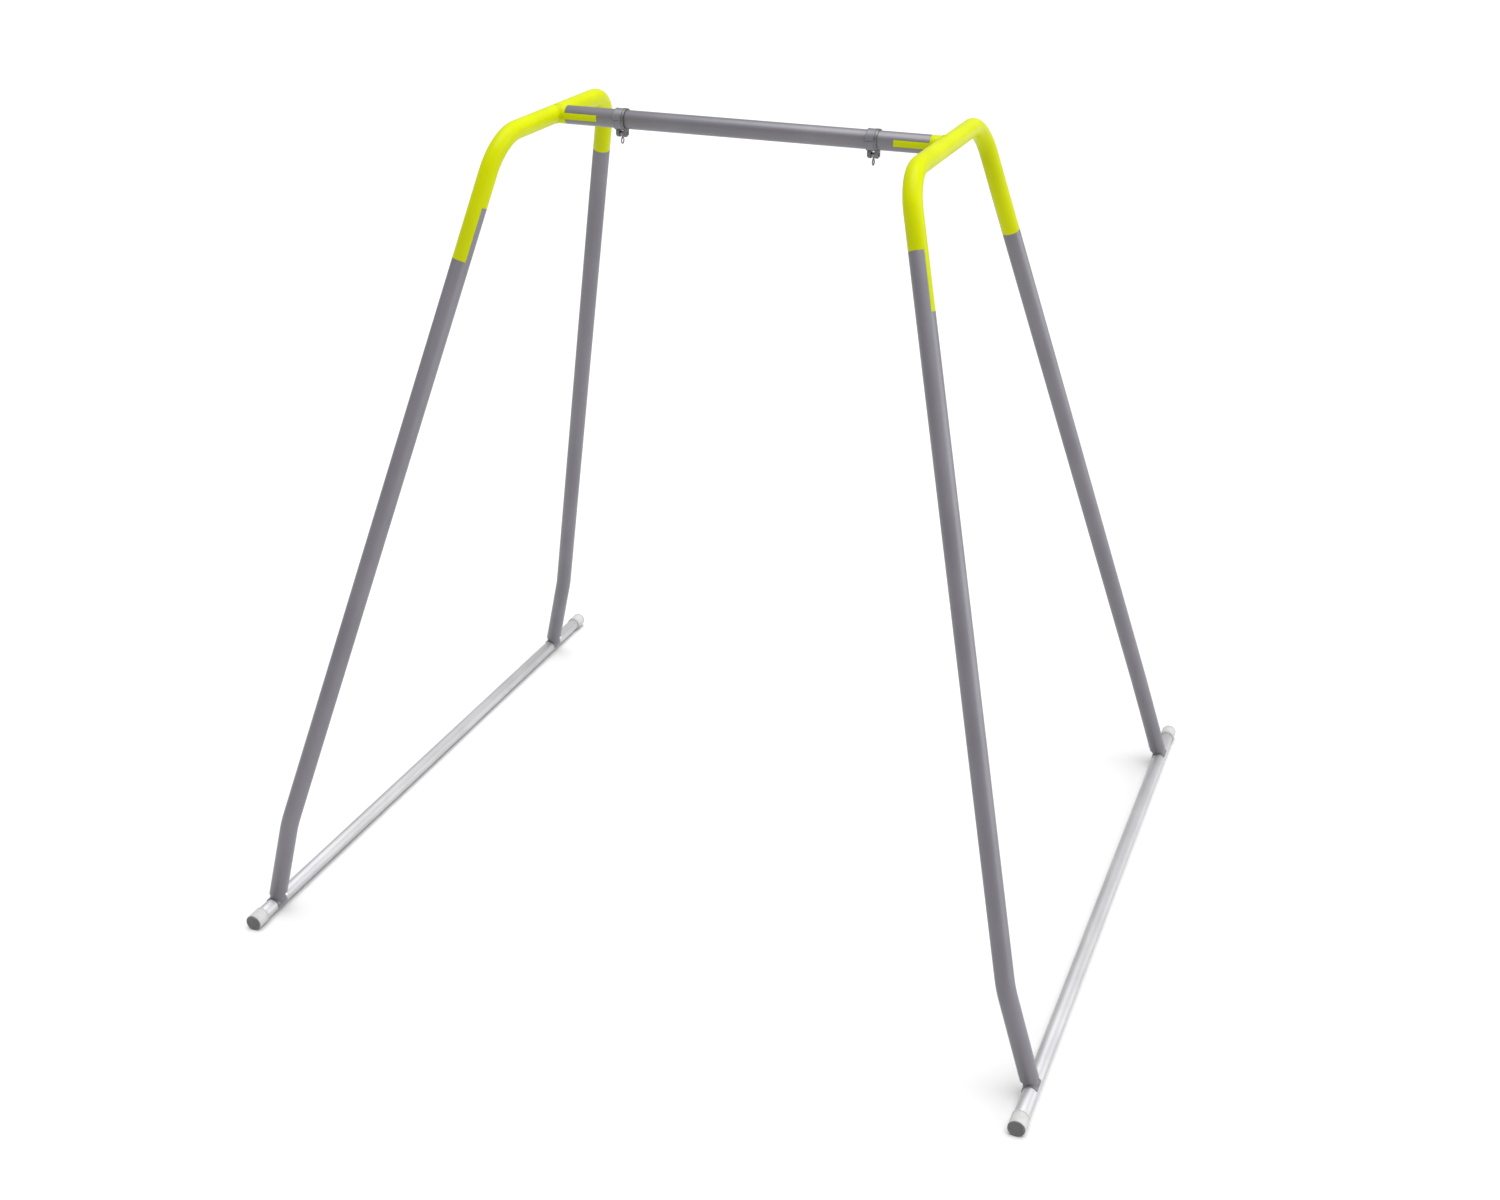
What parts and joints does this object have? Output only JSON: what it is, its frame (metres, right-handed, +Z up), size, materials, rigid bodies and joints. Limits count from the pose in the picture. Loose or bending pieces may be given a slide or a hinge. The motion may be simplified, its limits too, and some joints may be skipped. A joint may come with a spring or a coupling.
{
  "type": "swing frame",
  "caption": "Free-standing tubular swing frame: two bent end arches and splayed legs hold a crossbar with rope hangers over two floor bars.",
  "frame": {"origin": "middle of the bounding box, on the floor", "axes": "+Z up, +X along the crossbar towards the right-hand arch, -Y towards the front"},
  "size_m": [1.9582, 1.854, 1.8833],
  "materials": {
    "lime_paint": "gloss powder coat",
    "grey_paint": "satin metallic powder coat",
    "silver_tube": "bright zinc plate",
    "cap_plastic": "moulded",
    "plug_rubber": "moulded",
    "zinc_steel": "zinc plate",
    "bright_steel": "polished",
    "dark_steel": "blackened",
    "bronze": "plain bearing bronze"
  },
  "bodies": {
    "frame": {"crossbar": "grey_paint", "arch_left": "lime_paint", "crossbar_sleeve_left": "zinc_steel", "floor_bar_left": "silver_tube", "leg_front_left": "grey_paint", "lap_sleeve_front_left": "zinc_steel", "foot_saddle_front_left": "grey_paint", "end_cap_front_left": "cap_plastic", "end_plug_front_left": "plug_rubber", "leg_rear_left": "grey_paint", "lap_sleeve_rear_left": "zinc_steel", "foot_saddle_rear_left": "grey_paint", "end_cap_rear_left": "cap_plastic", "end_plug_rear_left": "plug_rubber", "arch_right": "lime_paint", "crossbar_sleeve_right": "zinc_steel", "floor_bar_right": "silver_tube", "leg_front_right": "grey_paint", "lap_sleeve_front_right": "zinc_steel", "foot_saddle_front_right": "grey_paint", "end_cap_front_right": "cap_plastic", "end_plug_front_right": "plug_rubber", "leg_rear_right": "grey_paint", "lap_sleeve_rear_right": "zinc_steel", "foot_saddle_rear_right": "grey_paint", "end_cap_rear_right": "cap_plastic", "end_plug_rear_right": "plug_rubber"},
    "hanger_left": {"hanger_ring_left": "grey_paint", "hanger_cheek_left": "dark_steel", "hanger_strap_left": "dark_steel", "set_screw_left": "dark_steel", "hanger_pin_left": "zinc_steel", "pin_keeper_left": "dark_steel", "pin_bush_left": "bronze"},
    "link_left": {"hanger_link_left": "zinc_steel"},
    "button_front_left": {"snap_button_front_left": "bright_steel", "button_spring_front_left": "dark_steel"},
    "button_rear_left": {"snap_button_rear_left": "bright_steel", "button_spring_rear_left": "dark_steel"},
    "hanger_right": {"hanger_ring_right": "grey_paint", "hanger_cheek_right": "dark_steel", "hanger_strap_right": "dark_steel", "set_screw_right": "dark_steel", "hanger_pin_right": "zinc_steel", "pin_keeper_right": "dark_steel", "pin_bush_right": "bronze"},
    "link_right": {"hanger_link_right": "zinc_steel"},
    "button_front_right": {"snap_button_front_right": "bright_steel", "button_spring_front_right": "dark_steel"},
    "button_rear_right": {"snap_button_rear_right": "bright_steel", "button_spring_rear_right": "dark_steel"}
  },
  "joints": [
    {"name": "hanger_slide_left", "type": "slide", "parent": "frame", "child": "hanger_left", "axis": [1, 0, 0], "range_m": [-0.09, 0.27]},
    {"name": "link_swing_left", "type": "hinge", "parent": "hanger_left", "child": "link_left", "pos_m": [-0.299, -0.05, 1.8255], "axis": [1, 0, 0], "range_deg": [-80, 80]},
    {"name": "hanger_slide_right", "type": "slide", "parent": "frame", "child": "hanger_right", "axis": [1, 0, 0], "range_m": [-0.27, 0.09]},
    {"name": "link_swing_right", "type": "hinge", "parent": "hanger_right", "child": "link_right", "pos_m": [0.305, -0.05, 1.8255], "axis": [1, 0, 0], "range_deg": [-80, 80]},
    {"name": "button_push_front_left", "type": "slide", "parent": "frame", "child": "button_front_left", "axis": [-0.9607, -0.0067, 0.2776], "range_m": [0, 0.0045], "stiffness_N_per_m": 1500, "springref_m": -0.001},
    {"name": "button_push_rear_left", "type": "slide", "parent": "frame", "child": "button_rear_left", "axis": [-0.9618, -0.0477, 0.2697], "range_m": [0, 0.0045], "stiffness_N_per_m": 1500, "springref_m": -0.001},
    {"name": "button_push_front_right", "type": "slide", "parent": "frame", "child": "button_front_right", "axis": [0.9607, -0.0067, 0.2776], "range_m": [0, 0.0045], "stiffness_N_per_m": 1500, "springref_m": -0.001},
    {"name": "button_push_rear_right", "type": "slide", "parent": "frame", "child": "button_rear_right", "axis": [0.9618, -0.0477, 0.2697], "range_m": [0, 0.0045], "stiffness_N_per_m": 1500, "springref_m": -0.001}
  ]
}
